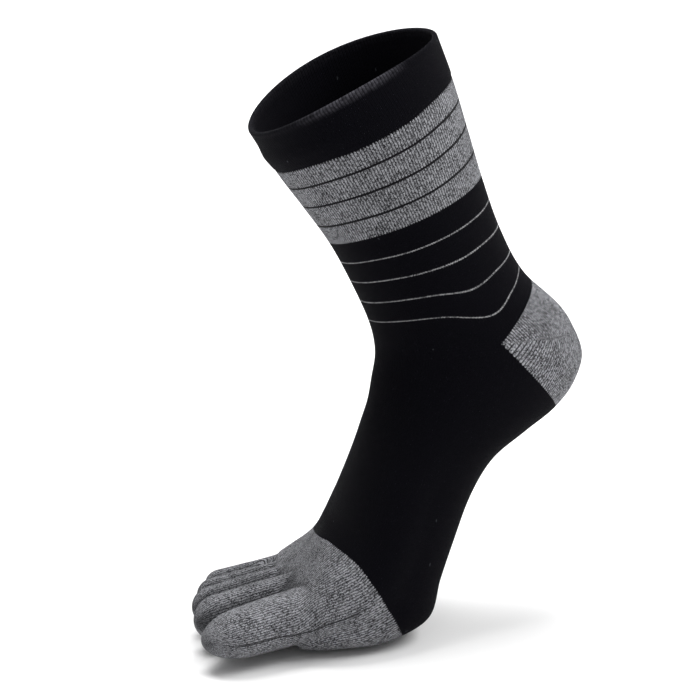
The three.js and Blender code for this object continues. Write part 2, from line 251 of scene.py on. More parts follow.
def between_cells(table, row, column):
    """A table's value at any row and column, by linear steps between the four nearest cells."""
    i = np.minimum(row.astype(int), table.shape[0] - 2)
    j = np.minimum(column.astype(int), table.shape[1] - 2)
    s, t = row - i, column - j
    upper = table[i, j] * (1 - t) + table[i, j + 1] * t
    return upper * (1 - s) + (table[i + 1, j] * (1 - t) + table[i + 1, j + 1] * t) * s


WALE_TABLE, GIRTH = wale_table()


def wale_of(along, angle):
    """Wale number at a length and angle."""
    row = np.interp(along, WALE_ALONG, np.arange(len(WALE_ALONG)))
    column = np.interp(angle, WALE_ANGLE, np.arange(len(WALE_ANGLE)))
    return between_cells(WALE_TABLE, row, column)


for place in ("cuff_end", "ankle", "ball"):
    print("girth at", place, round(float(np.interp(STATION[place], WALE_ALONG, GIRTH))), "mm")

# %% [markdown]
# The courses don't stay level. Pulled over a leg, they rise a little at the calf, and just above
# the heel the extra rows of the heel pocket push them down at the sides. That is why the thin lines
# sag more and more towards the heel. The table gives, for some courses, how far each one lies below
# its place at the front, at seven places on the way from the front to the back.

# %% Courses and how they sag
SAG_DEGREES = np.array([0.0, 40, 68, 97, 125, 155, 180])
# course, then its sag in mm at each of those angles
SAGS = np.array([
    [0, 0, 0, 0, 0, 0, 0, 0],
    [23.4, 0, 0.4, 2.2, 2.4, 0.2, -0.9, -1.2],
    [34.4, 0, 0.4, 1.6, 1.8, 0, -1.8, -2.0],
    [46.6, 0, 0.4, 1.4, 1.5, -0.4, -3.0, -3.4],
    [59.6, 0, 0.3, 1.2, 1.1, -0.9, -3.2, -3.5],
    [70.9, 0, 0.3, 0.7, 0.3, -0.9, -2.4, -2.8],
    [82.4, 0, 0.8, 1.9, 1.4, -0.4, -2.7, -3.1],
    [93.4, 0, 1.4, 2.8, 3.0, 0.6, -1.5, -1.9],
    [104.4, 0, 1.6, 3.8, 7.4, 3.9, 1.0, 0.5],
    [116.1, 0, 2.2, 5.4, 12.1, 4.9, -1.4, -2.8],
    [150.0, 0, 2.2, 5.4, 12.1, 4.9, -1.4, -2.8],
])
LAST_COURSE = SAGS[-1, 0]
COURSE_STEPS = 14
SAG_FINE = smooth_rows(SAGS[:, 0], SAGS[:, 1:], np.arange(LAST_COURSE + 1))
SAG_FINE = smooth_rows(SAG_DEGREES, SAG_FINE.T, np.arange(181)).T


def sag(course, angle):
    """Sag of a course at an angle, from the fine table of every course and degree."""
    return between_cells(SAG_FINE, np.clip(course, 0, LAST_COURSE), np.degrees(np.abs(angle)))


def course_of(along, angle):
    """The course through a point: half steps towards along - sag(course), which settles quickly."""
    along, angle = np.broadcast_arrays(np.asarray(along, float), angle)
    course = along.copy()
    for _ in range(COURSE_STEPS):
        course = 0.5 * course + 0.5 * (along - sag(course, angle))
    return course


print("deepest sag:", round(float(SAG_FINE.max()), 1), "mm")

# %% [markdown]
# ## Cloth with two faces
# Knitted cloth is about a millimetre and a half thick, so a piece is a closed skin: the outer face,
# the same face moved in by the cloth's thickness, and a narrow strip round each free edge. The
# numbers of wales and courses go into the mesh as a UV map, corner by corner, because the last wale
# of a ring meets the first.

# %% Cloth pieces from a grid of faces
CLOTH_WALL = 1.5
CUFF_WALL = 2.4


def face_normals(points, quads):
    """Cross product of a face's two diagonals, so its length is twice the area."""
    a, b, c, d = (points[quads[:, k]] for k in range(4))
    return np.cross(c - a, d - b)


def point_normals(points, quads):
    """Sum of the face normals round each point, made one long."""
    faces = face_normals(points, quads)
    total = np.stack([
        np.bincount(quads.ravel(), np.repeat(faces[:, axis], 4), len(points)) for axis in range(3)
    ], -1)
    return total / np.maximum(np.linalg.norm(total, axis=1, keepdims=True), 1e-12)


def free_edges(quads):
    """Edges that only one face uses, in that face's own order."""
    edges = np.stack([quads, np.roll(quads, -1, axis=1)], -1).reshape(-1, 2)
    key = np.sort(edges, axis=1)
    _, first, count = np.unique(key, axis=0, return_index=True, return_counts=True)
    return edges[first[count == 1]]


def mesh_of(name, points, quads, maps, smooth_faces):
    """A Blender mesh from points in mm, four-cornered faces and UV maps given corner by corner."""
    mesh = bpy.data.meshes.new(name)
    mesh.vertices.add(len(points))
    mesh.vertices.foreach_set("co", (points * MM).astype(np.float32).ravel())
    mesh.loops.add(quads.size)
    mesh.loops.foreach_set("vertex_index", quads.astype(np.int32).ravel())
    mesh.polygons.add(len(quads))
    mesh.polygons.foreach_set("loop_start", np.arange(0, quads.size, 4, dtype=np.int32))
    mesh.polygons.foreach_set("use_smooth", smooth_faces)
    for map_name, corners in maps.items():
        layer = mesh.uv_layers.new(name=map_name)
        layer.data.foreach_set("uv", corners.astype(np.float32).ravel())
    mesh.update()
    mesh.validate(clean_customdata=False)
    return mesh


def cloth(name, points, quads, maps, inner, normals):
    """A closed piece of cloth: outer faces, inner faces turned over, and strips along free edges."""
    count = len(points)
    rim = free_edges(quads)
    strip = np.column_stack([rim[:, 1], rim[:, 0], rim[:, 0] + count, rim[:, 1] + count])
    faces = np.vstack([quads, quads[:, ::-1] + count, strip])
    edge_maps = {}
    for key, corners in maps.items():
        per_point = np.zeros((count, 2))
        per_point[quads.ravel()] = corners.reshape(-1, 2)
        edge_maps[key] = np.concatenate([corners, corners[:, ::-1], per_point[strip % count]])
    smooth = np.arange(len(faces)) < 2 * len(quads)
    both = np.vstack([points, inner])
    mesh = mesh_of(name, both, faces, edge_maps, smooth)
    flat = face_normals(both, strip)
    flat = np.repeat(flat[:, None], 4, axis=1) / np.maximum(np.linalg.norm(flat, axis=1)[:, None, None], 1e-9)
    corner_normals = np.concatenate([normals[quads], -normals[quads[:, ::-1]], flat]).reshape(-1, 3)
    if len(mesh.loops) == len(corner_normals):
        mesh.normals_split_custom_set(corner_normals.tolist())
    piece = bpy.data.objects.new(name + "_knit", mesh)
    bpy.context.scene.collection.objects.link(piece)
    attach(piece, "root")
    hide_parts(name)
    print(f"{piece.name}: {2 * len(faces)} triangles")
    return piece


# %% [markdown]
# ## The heel's wedge
# A short-row heel is knitted back and forth on half of the needles, so it is a wedge when seen from
# the side: it starts at a corner below the ankle and opens towards the back. Two planes through
# that corner bound it. For every line that runs down the tube, the length where it crosses a plane
# is found by halving an interval again and again.

# %% Where the wedge cuts the tube
HEEL_CORNER = np.array([0.182, 0.0, -0.004]) * FOOT_LENGTH
HEEL_UP, HEEL_DOWN = np.radians(45.5), np.radians(-47.5)
UP_EDGE = np.array([np.cos(HEEL_UP), 0, np.sin(HEEL_UP)])
DOWN_EDGE = np.array([np.cos(HEEL_DOWN), 0, np.sin(HEEL_DOWN)])
BELOW_UP = np.array([np.sin(HEEL_UP), 0, -np.cos(HEEL_UP)])
ABOVE_DOWN = np.array([-np.sin(HEEL_DOWN), 0, np.cos(HEEL_DOWN)])
CORNER_SHARE = 0.18
CORNER_ALONG = STATION["heel_top"] * (1 - CORNER_SHARE) + STATION["heel_point"] * CORNER_SHARE
CORNER_MARGIN = 3.0
HALVINGS = 40


def foot_plane(points):
    """Points of the part back in the foot's own plane, from the ankle's middle."""
    return (points + MOUTH) @ STANDING


def wedge_depth(points, normal):
    """Distance from one plane of the heel's wedge."""
    return (foot_plane(points) - HEEL_CORNER) @ normal


def crossing(angle, normal, low, high, rising):
    """Length where the line at each angle crosses a plane, by halving the interval."""
    low, high = np.full_like(angle, low), np.full_like(angle, high)
    for _ in range(HALVINGS):
        middle = (low + high) / 2
        inside = wedge_depth(tube_point(middle, angle), normal) > 0
        past = inside if rising else ~inside
        low, high = np.where(past, low, middle), np.where(past, middle, high)
    return (low + high) / 2


def wedge_edges(angle):
    """Lengths at which the lines at some angles cross the wedge's upper and its lower plane."""
    upper = crossing(angle, BELOW_UP, STATION["band_end"], STATION["heel_point"], True)
    lower = crossing(angle, ABOVE_DOWN, CORNER_ALONG - CORNER_MARGIN, STATION["arch"], False)
    return upper, lower


def corner_angle():
    """Angle at which the tube's side passes through the wedge's corner, by halving."""
    low, high = np.radians(60.0), np.radians(140.0)
    for _ in range(HALVINGS):
        middle = (low + high) / 2
        reach = foot_plane(tube_point(CORNER_ALONG, middle))[..., 0] - HEEL_CORNER[0]
        low, high = (low, middle) if reach > 0 else (middle, high)
    return float((low + high) / 2)


CORNER_ANGLE = corner_angle()
print("the heel's corner is", round(np.degrees(CORNER_ANGLE), 1), "degrees round from the front")

# %% [markdown]
# The columns of the mesh are spaced so that one of them passes exactly through the heel's corner on
# each side. All tubes share these columns, so neighbouring pieces meet point to point.

# %% Columns of the tube
BACK_COLUMNS, FRONT_COLUMNS = 144, 176
back_half = np.linspace(CORNER_ANGLE, np.pi, BACK_COLUMNS // 2 + 1)
front = np.linspace(-CORNER_ANGLE, CORNER_ANGLE, FRONT_COLUMNS + 1)
ANGLES = np.concatenate([-back_half[:0:-1], front, back_half[1:]])
print("columns:", len(ANGLES) - 1)

UP_ALONG = np.full_like(ANGLES, CORNER_ALONG)
LOW_ALONG = UP_ALONG.copy()
behind = np.abs(ANGLES) > CORNER_ANGLE + 1e-9
UP_ALONG[behind], LOW_ALONG[behind] = wedge_edges(ANGLES[behind])
print("heel pocket along the back:", round(UP_ALONG[0], 1), "to", round(LOW_ALONG[0], 1), "mm")

# %% [markdown]
# A tube piece is a grid: rows run from its upper edge to its lower edge, and both edges may wander
# with the angle, as the colour changes do. The grid's last column is its first one again.

# %% Tube pieces
ROW_STEP = 1.1
NORMAL_STEP, NORMAL_TURN = 0.05, 1e-3


def rows_between(upper, lower, step=ROW_STEP):
    """Rows of lengths from the upper edge to the lower one, the same number in every column."""
    rows = int(np.ceil(np.max(lower - upper) / step)) + 1
    share = np.linspace(0, 1, rows)[:, None]
    return upper[None, :] + share * (lower - upper)[None, :]


def grid_faces(rows, columns, closed):
    """Four-cornered faces of a grid of points; a closed grid joins its last column to its first."""
    i, j = np.meshgrid(np.arange(rows - 1), np.arange(columns if closed else columns - 1), indexing="ij")
    k = (j + 1) % columns
    here, below = i * columns, (i + 1) * columns
    return np.stack([here + j, below + j, below + k, here + k], -1).reshape(-1, 4)


def corners_of(values):
    """A value for each corner of each face, from a grid that has its first column again at the end."""
    a, b, c, d = values[:-1, :-1], values[1:, :-1], values[1:, 1:], values[:-1, 1:]
    return np.stack([a, b, c, d], 2).reshape(-1, 4, *values.shape[2:])


def tube_normal(along, angle):
    """Outward normal of the tube: cross product of short steps along and round it."""
    along_step = tube_point(along + NORMAL_STEP, angle) - tube_point(along - NORMAL_STEP, angle)
    round_step = tube_point(along, angle + NORMAL_TURN) - tube_point(along, angle - NORMAL_TURN)
    normal = np.cross(along_step, round_step)
    return normal / np.linalg.norm(normal, axis=-1, keepdims=True)


def tube_piece(name, along, points, inner, normals=None):
    """A tube from grids of lengths and points; the last column of each repeats the first."""
    rows, columns = along.shape[0], along.shape[1] - 1
    knit = np.stack([wale_of(along, ANGLES[None, :]), course_of(along, ANGLES[None, :])], -1)
    points, inner = points[:, :-1].reshape(-1, 3), inner[:, :-1].reshape(-1, 3)
    quads = grid_faces(rows, columns, True)
    normals = point_normals(points, quads) if normals is None else normals[:, :-1].reshape(-1, 3)
    return cloth(name, points, quads, {"knit": corners_of(knit)}, inner, normals)


# %% [markdown]
# ## Cuff, band, ankle and foot
# The cuff is a welt: the cloth is folded over and knitted to itself, so it is thicker, its rim is
# round, and it bulges slightly where the fold ends. The rim's roundness is a half circle of small
# rings from the outer face over to the inner one. The band below comes out from under the welt.

# %% The cuff
CUFF_COURSE, BAND_COURSE = 23.4, 70.9
RIM_RINGS = 7
WELT_OUT = 0.35
SWELL, SWELL_ABOVE, SWELL_SPREAD = 0.9, 8.0, 4.5
PULL, PULL_SPREAD = 0.5, 1.2


def edge_at(course):
    """Length at which a course lies, column by column."""
    return course + sag(np.full_like(ANGLES, course), ANGLES)


def welt(along, angle):
    """How far the cuff stands out: a soft swell above its lower edge and a slight pull at the edge."""
    above = edge_at(CUFF_COURSE)[None, :] - along
    swell = SWELL * np.exp(-(((above - SWELL_ABOVE) / SWELL_SPREAD) ** 2)) * (1 + np.cos(angle)) / 2
    return WELT_OUT + swell - PULL * np.exp(-((above / PULL_SPREAD) ** 2))


LIP_RADIUS = (CUFF_WALL + WELT_OUT) / 2
around = ANGLES[None, :]
cuff_along = rows_between(np.full_like(ANGLES, LIP_RADIUS), edge_at(CUFF_COURSE))
cuff_outer = tube_point(cuff_along, around, welt(cuff_along, around))
lip = np.linspace(np.pi, 0, RIM_RINGS)[:-1, None]
lip_outward = WELT_OUT - LIP_RADIUS + LIP_RADIUS * np.cos(lip)
lip_points = tube_point(LIP_RADIUS + 0 * lip, around, lip_outward, -LIP_RADIUS * np.sin(lip))
lip_along = np.repeat(LIP_RADIUS - LIP_RADIUS * np.sin(lip), len(ANGLES), axis=1)
lip_inner = np.repeat(tube_point(np.full((1, 1), LIP_RADIUS), around, -CUFF_WALL), RIM_RINGS - 1, axis=0)
cuff_inner = np.vstack([lip_inner, tube_point(cuff_along, around, -CUFF_WALL)])
cuff = tube_piece("cuff", np.vstack([lip_along, cuff_along]), np.vstack([lip_points, cuff_outer]), cuff_inner)

# %% [markdown]
# The marl band, the black ankle and the black foot are plain tubes between wandering edges. The
# ankle ends and the foot starts at the heel's two planes behind the corner, and at one level ring
# in front of it.

# %% Band, ankle and foot


def plain_tube(name, upper, lower):
    """A tube of single cloth between two edges."""
    along = rows_between(upper, lower)
    outer = tube_point(along, ANGLES[None, :])
    inner = tube_point(along, ANGLES[None, :], -CLOTH_WALL)
    return tube_piece(name, along, outer, inner, tube_normal(along, ANGLES[None, :]))


FOREFOOT_START = STATION["forefoot_start"]
# place of the marl forefoot's edge, in mm beyond FOREFOOT_START, at some angles round the foot
EDGE_DEGREES = np.array([-180.0, -133, -98, -59, -38, -20, -3, 15, 37, 90, 135, 180])
EDGE_SHIFTS = np.array([-2.0, -2.7, -5.6, -10.4, -12.4, -11, -6.8, 2, 9, 11, 4, -2.0])


def forefoot_edge(angle):
    """Length at which black gives way to marl at the forefoot, on a cubic curve through the table."""
    return FOREFOOT_START + smooth_rows(EDGE_DEGREES, EDGE_SHIFTS[:, None], np.degrees(angle))[..., 0]


leg_band = plain_tube("leg_band", edge_at(CUFF_COURSE), edge_at(BAND_COURSE))
ankle = plain_tube("ankle", edge_at(BAND_COURSE), UP_ALONG)
foot = plain_tube("foot", LOW_ALONG, forefoot_edge(ANGLES))

# %% [markdown]
# ## The heel pocket
# The heel's courses run parallel to the two edges of the wedge and turn over where they meet, on the
# gore line. So its stitches need coordinates of their own. A course is the distance from the nearer
# edge. The wales carry on from the ankle above and into the foot below, so each wale of the heel
# gets the number that the tube has on the nearer edge, at the same share of the way round the back.

# %% Heel coordinates
HEEL_HALF_WIDTH = 34.0
EDGE_MARGIN = 0.5


def way_round(offset, edge, sideways, course, back_course, back_reach):
    """Angle round the back, from the side, of a point in one course: reach and width as shares."""
    order = np.argsort(back_course)
    longest = np.interp(course, back_course[order], back_reach[order])
    return np.arctan2(offset @ edge / longest, np.abs(sideways) / HEEL_HALF_WIDTH)


def heel_stitches(points, along, angle):
    """Wale and course of heel points from the nearer edge; the middle column is the back's middle."""
    plane = foot_plane(points)
    offset, sideways = plane - HEEL_CORNER, plane[..., 1]
    middle = points.shape[1] // 2
    from_up, from_down = offset @ BELOW_UP, offset @ ABOVE_DOWN
    far_side = angle > np.pi
    wales = []
    for row, edge, course in ((0, UP_EDGE, from_up), (-1, DOWN_EDGE, from_down)):
        keep = course[:, middle] > -EDGE_MARGIN
        reach = (offset @ edge)[keep, middle]
        turn = way_round(offset, edge, sideways, course, course[keep, middle], reach)
        edge_wale = wale_of(along[row], angle - 2 * np.pi * far_side) + WALES * far_side
        half = []
        for part in (slice(0, middle + 1), slice(middle, None)):
            order = np.argsort(turn[row, part])
            half.append(np.interp(turn[:, part], turn[row, part][order], edge_wale[part][order]))
        wales.append(np.hstack([half[0], half[1][:, 1:]]))
    wale = np.where(from_up < from_down, wales[0], wales[1])
    return np.stack([wale, np.minimum(from_up, from_down)], -1)


heel_columns = np.concatenate([back_half, 2 * np.pi - back_half[-2::-1]])
heel_up = np.full_like(heel_columns, CORNER_ALONG)
heel_low = heel_up.copy()
heel_up[1:-1], heel_low[1:-1] = wedge_edges(heel_columns[1:-1])
heel_along = rows_between(heel_up, heel_low)
heel_points = tube_point(heel_along, heel_columns)
heel_knit = heel_stitches(heel_points, heel_along, heel_columns)
heel = cloth(
    "heel", heel_points.reshape(-1, 3), grid_faces(*heel_along.shape, False),
    {"knit": corners_of(heel_knit)}, tube_point(heel_along, heel_columns, -CLOTH_WALL).reshape(-1, 3),
    tube_normal(heel_along, heel_columns).reshape(-1, 3),
)

# %% [markdown]
# ## The forefoot and the toes
# The five toe tubes grow out of the end of the foot's tube, and the cloth runs smoothly from one to
# the other with a small web between neighbours. A smooth branching like this is hard to work out as
# one grid. It is easier to make six simple closed forms, melt them into one skin with a voxel
# remesh, smooth that skin, and then cut it into pieces again.

# %% Toe tubes
FLOOR_SHARE = -0.504
TOE_NAMES = ["big_toe", "second_toe", "third_toe", "fourth_toe", "little_toe"]
# root_x root_y tip_x tip_y root_width tip_width root_height tip_height lift free round
TOES = np.array([
    [-0.19, -0.366, -0.486, -0.377, 0.35, 0.28, 0.282, 0.207, 0.02, 0.16, 1.5],
    [-0.19, -0.115, -0.452, -0.13, 0.176, 0.17, 0.26, 0.208, 0.01, 0.14, 1.2],
    [-0.17, 0.061, -0.42, 0.044, 0.16, 0.156, 0.225, 0.183, 0.01, 0.14, 1.2],
    [-0.16, 0.221, -0.376, 0.205, 0.147, 0.143, 0.17, 0.153, 0.01, 0.122, 1.2],
    [-0.15, 0.362, -0.326, 0.358, 0.132, 0.136, 0.118, 0.122, 0.03, 0.088, 1.2],
])
TOE_COLUMNS = [
    "root_x", "root_y", "tip_x", "tip_y", "root_width", "tip_width", "root_height", "tip_height",
    "lift", "free", "round",
]


def toe_of(index):
    """One toe's row, with its root, forward direction, length, start and round end in mm."""
    toe = dict(zip(TOE_COLUMNS, TOES[index]))
    root = np.array([toe["root_x"] * FOOT_LENGTH, toe["root_y"] * FOOT_WIDTH])
    tip = np.array([toe["tip_x"] * FOOT_LENGTH, toe["tip_y"] * FOOT_WIDTH])
    length = np.linalg.norm(tip - root)
    return toe | {
        "root": root, "forward": (tip - root) / length, "length": length,
        "start": length - toe["free"] * FOOT_LENGTH,
        "round_end": toe["round"] * toe["tip_width"] * FOOT_WIDTH / 2,
    }


def toe_size(toe, along):
    """Half width, half height and middle height of a toe at a length from its root."""
    t = along / toe["length"]
    half_width = (toe["root_width"] * (1 - t) + toe["tip_width"] * t) * FOOT_WIDTH / 2
    half_height = (toe["root_height"] * (1 - t) + toe["tip_height"] * t) * FOOT_WIDTH / 2
    lift = toe["lift"] * FOOT_WIDTH * (1 - t) ** 2
    return half_width, half_height, FLOOR_SHARE * FOOT_LENGTH + half_height + lift


def toe_point(toe, along, angle, scale=1.0):
    """Points of a toe in mm: an ellipse across its own direction, drawn in by scale towards the tip."""
    along, angle, scale = np.broadcast_arrays(along, angle, scale)
    half_width, half_height, middle = toe_size(toe, along)
    across, height = np.cos(angle) * half_width * scale, np.sin(angle) * half_height * scale
    x = toe["root"][0] + toe["forward"][0] * along - toe["forward"][1] * across
    y = toe["root"][1] + toe["forward"][1] * along + toe["forward"][0] * across
    return np.stack([x, y, middle + height], -1) - MOUTH


TOE_LIST = [toe_of(k) for k in range(len(TOES))]
print("lengths of the toes:", [round(float(toe["length"])) for toe in TOE_LIST], "mm")

# %% [markdown]
# The end of each toe is rounded: over its last centimetre or two the ellipse shrinks like the cosine
# of an angle that goes from nought to a right angle. The foot's own tube gets a low rounded nose in
# the same way, and each toe starts narrower inside the foot, so that it grows out of it softly.
# Poles are closed by a fan of narrow faces.

# %% Closed forms to melt together


def closed_form(rings):
    """Points and faces of stacked rings with both ends filled: grid faces plus a fan at each pole."""
    count, columns = rings.shape[:2]
    points = np.vstack([rings.reshape(-1, 3), rings[0].mean(0), rings[-1].mean(0)])
    around = np.arange(columns)
    after = (around + 1) % columns
    first, last = np.full(columns, count * columns), np.full(columns, count * columns + 1)
    start_fan = np.column_stack([first, around, after])
    end_fan = np.column_stack([last, (count - 1) * columns + after, (count - 1) * columns + around])
    quads = grid_faces(count, columns, True)
    return points, [*quads.tolist(), *start_fan.tolist(), *end_fan.tolist()]


ROOT_DEPTH = 26.0
ROOT_DRAW = [0.4, 0.86, 1.0]
TOE_ROUND, TOE_ROWS, TOE_CAP = 72, 80, 24


def toe_form(toe):
    """A toe from inside the foot to its rounded tip."""
    angle = np.linspace(0, 2 * np.pi, TOE_ROUND + 1)[:-1]
    straight = toe["length"] - toe["round_end"]
    body = np.linspace(-ROOT_DEPTH, straight, TOE_ROWS)
    cap = np.linspace(0, np.pi / 2, TOE_CAP + 1)[1:-1]
    along = np.concatenate([body, straight + toe["round_end"] * np.sin(cap)])
    root_draw = np.interp(body, [-ROOT_DEPTH, 0, toe["start"]], ROOT_DRAW)
    scale = np.concatenate([root_draw, np.cos(cap)])
    return closed_form(toe_point(toe, along[:, None], angle[None, :], scale[:, None]))


NOSE = 8.0
TAIL = 34.0
FOOT_ROUND, FOOT_ROWS, FOOT_CAP = 240, 90, 13


def foot_form():
    """The end of the foot's tube, from a little behind the colour change to its rounded nose."""
    angle = np.linspace(-np.pi, np.pi, FOOT_ROUND + 1)[:-1]
    end = (STATION["toe_roots"] + STATION["webs"]) / 2
    body = np.linspace(FOREFOOT_START - TAIL, end, FOOT_ROWS)
    rings = [tube_point(body[:, None], angle[None, :])]
    ring = tube_point(np.full((1, 1), end), angle[None, :])
    middle, _, _, _, onward, _, _, _, _ = section_frame(np.array([end]))
    centre = stand_up(middle) - MOUTH
    push = stand_up(onward)
    for turn_in in np.linspace(0, np.pi / 2, FOOT_CAP + 1)[1:-1]:
        rings.append(centre + (ring - centre) * np.cos(turn_in) + push * NOSE * np.sin(turn_in))
    return closed_form(np.vstack(rings))


def joined(forms):
    """Several closed forms as one list of points and one of faces."""
    points, faces, offset = [], [], 0
    for form_points, form_faces in forms:
        points.append(form_points)
        faces += [[corner + offset for corner in face] for face in form_faces]
        offset += len(form_points)
    return np.vstack(points), faces


# %% Melting them
VOXEL = 0.64


def melted(points, faces, voxel):
    """One closed skin round overlapping forms, from a voxel remesh in mm, as points and quads."""
    mesh = bpy.data.meshes.new("mould")
    mesh.from_pydata(points.tolist(), [], faces)
    mould = bpy.data.objects.new("mould", mesh)
    bpy.context.scene.collection.objects.link(mould)
    melt = mould.modifiers.new("melt", "REMESH")
    melt.mode, melt.voxel_size, melt.adaptivity = "VOXEL", voxel, 0.0
    skin = mould.evaluated_get(bpy.context.evaluated_depsgraph_get()).to_mesh()
    co = np.empty(len(skin.vertices) * 3)
    skin.vertices.foreach_get("co", co)
    corners = np.empty(len(skin.loops), dtype=np.int32)
    skin.loops.foreach_get("vertex_index", corners)
    print("melted skin:", len(skin.vertices), "points,", len(skin.polygons), "faces")
    bpy.data.objects.remove(mould)
    bpy.data.meshes.remove(mesh)
    return co.reshape(-1, 3), corners.reshape(-1, 4)


skin, skin_quads = melted(*joined([foot_form(), *map(toe_form, TOE_LIST)]), VOXEL)

# %% [markdown]
# The remesh leaves fine steps. They are smoothed by moving each point towards the mean of its
# neighbours and then back by slightly more, which takes out steps and keeps the volume. Then only
# hollows are moved: a point in a crease goes out towards its neighbours, as stretched cloth bridges
# a narrow gap. The roots of the toes are softened by plain averaging, and a last pass evens it out.

# %% Smoothing
EDGES = np.stack([skin_quads, np.roll(skin_quads, -1, axis=1)], -1).reshape(-1, 2)
EDGES = np.unique(np.sort(EDGES, axis=1), axis=0)
NEIGHBOURS = np.bincount(EDGES.ravel(), minlength=len(skin))[:, None]
STEP_IN, STEP_OUT = 0.5, 0.52
FIRST_PASSES, BRIDGE_PASSES, ROOT_PASSES, LAST_PASSES = 10, 4, 26, 6
# the averaging is strongest ROOT_BACK mm behind a root, fades over ROOT_SPREAD mm and ends at
# ROOT_REACH times the toe's own radius
ROOT_BACK, ROOT_SPREAD, ROOT_REACH = 7, 8, 1.5


def towards_mean(points):
    """Mean of each point's neighbours less the point itself."""
    total = np.stack([
        np.bincount(EDGES[:, 0], points[EDGES[:, 1], axis], len(points))
        + np.bincount(EDGES[:, 1], points[EDGES[:, 0], axis], len(points))
        for axis in range(3)
    ], -1)
    return total / NEIGHBOURS - points


def smoothed(points, times):
    """Moves in by STEP_IN and back out by STEP_OUT of the difference, many times."""
    for _ in range(times):
        points = points + STEP_IN * towards_mean(points)
        points = points - STEP_OUT * towards_mean(points)
    return points


def bridged(points, quads, times):
    """Moves only the points that lie in a hollow, along their normals."""
    for _ in range(times):
        normals = point_normals(points, quads)
        lift = np.maximum(0, np.sum(towards_mean(points) * normals, axis=1, keepdims=True))
        points = points + STEP_IN * lift * normals
    return points


def toe_place(toe, points):
    """Length along a toe, turn round it from its top, and how far out a point lies in radii."""
    spot = points + MOUTH
    offset = spot[:, :2] - toe["root"]
    along = offset @ toe["forward"]
    across = offset @ np.array([-toe["forward"][1], toe["forward"][0]])
    half_width, half_height, middle = toe_size(toe, np.clip(along, 0, toe["length"]))
    sideways, upwards = across / half_width, (spot[:, 2] - middle) / half_height
    return along, np.arctan2(sideways, upwards), np.hypot(sideways, upwards)


def toe_places(points):
    """The place of each point on every toe, and the index of the toe that it is nearest to."""
    places = [toe_place(toe, points) for toe in TOE_LIST]
    return places, np.argmin([radius for _, _, radius in places], axis=0)


def near_roots(points):
    """How close each point lies to the root of a toe, from 1 at the root to 0 far away."""
    share = np.zeros(len(points))
    for toe in TOE_LIST:
        along, _, radius = toe_place(toe, points)
        near = np.exp(-(((along - toe["start"] + ROOT_BACK) / ROOT_SPREAD) ** 2))
        share = np.maximum(share, near * (radius < ROOT_REACH))
    return share[:, None]


skin = smoothed(skin, FIRST_PASSES)
skin = bridged(skin, skin_quads, BRIDGE_PASSES)
for _ in range(ROOT_PASSES):
    skin = skin + STEP_IN * near_roots(skin) * towards_mean(skin)
skin = smoothed(skin, LAST_PASSES)
print("skin reaches from", np.round(skin.min(0), 1), "to", np.round(skin.max(0), 1), "mm")

# %% [markdown]
# To put stitches on the melted skin, each point is traced back to the tube: the section plane that
# it lies on is found by halving, and its place in that plane gives the angle round the ring. On the
# toes the length along the toe and the way round it count instead, and the two blend at the roots.

# %% Tracing points back to the tube
TRACE_HALVINGS = 30


def traced(points, low, high):
    """Length and angle of points near the tube: plane by halvings, then the ring's own shares."""
    plane = foot_plane(points)
    low, high = np.full(len(plane), low), np.full(len(plane), high)
    for _ in range(TRACE_HALVINGS):
        along = (low + high) / 2
        middle, _, _, depth, _, sideways, *_ = section_frame(along)
        ahead = np.sum((plane - middle) * np.cross(sideways, depth), axis=1) > 0
        low, high = np.where(ahead, along, low), np.where(ahead, high, along)
    middle, half_depth, half_width, depth, _, sideways, flat, ridge, _ = section_frame(along)
    offset = plane - middle
    on_depth, on_side = np.sum(offset * depth, 1), np.sum(offset * sideways, 1)
    slant, size = np.sum(depth * sideways, 1), np.sum(sideways**2, 1)
    g = (on_side - slant * on_depth) / (size - slant**2)
    f = (on_depth - slant * g) / half_depth
    g = g / half_width + ridge * front_part(f)
    power = np.where(f < 0, 2, flat) / 2
    return along, np.arctan2(np.sign(g) * np.abs(g) ** power, -np.sign(f) * np.abs(f) ** power)


skin_along, skin_angle = traced(skin, FOREFOOT_START - 1.5 * TAIL, STATIONS[-1])
print("skin traced from", round(float(skin_along.min())), "to", round(float(skin_along.max())), "mm")

# %% Toe regions and stitch numbers
ROOT_BLEND = 16.0
ROOT_SHARE = 0.6
WALES_PER_MM = 0.76
KNOWN_ARC = 6
# turns from the top, in radians, at which the lower side starts
FOOT_LOW, TOE_LOW, BIG_TOE_LOW = 2.2, 1.75, 2.6


def ease(value, low, high):
    """0 below low, 1 above high and a smooth step between them: 3t^2 - 2t^3."""
    t = np.clip((value - low) / (high - low), 0, 1)
    return t * t * (3 - 2 * t)


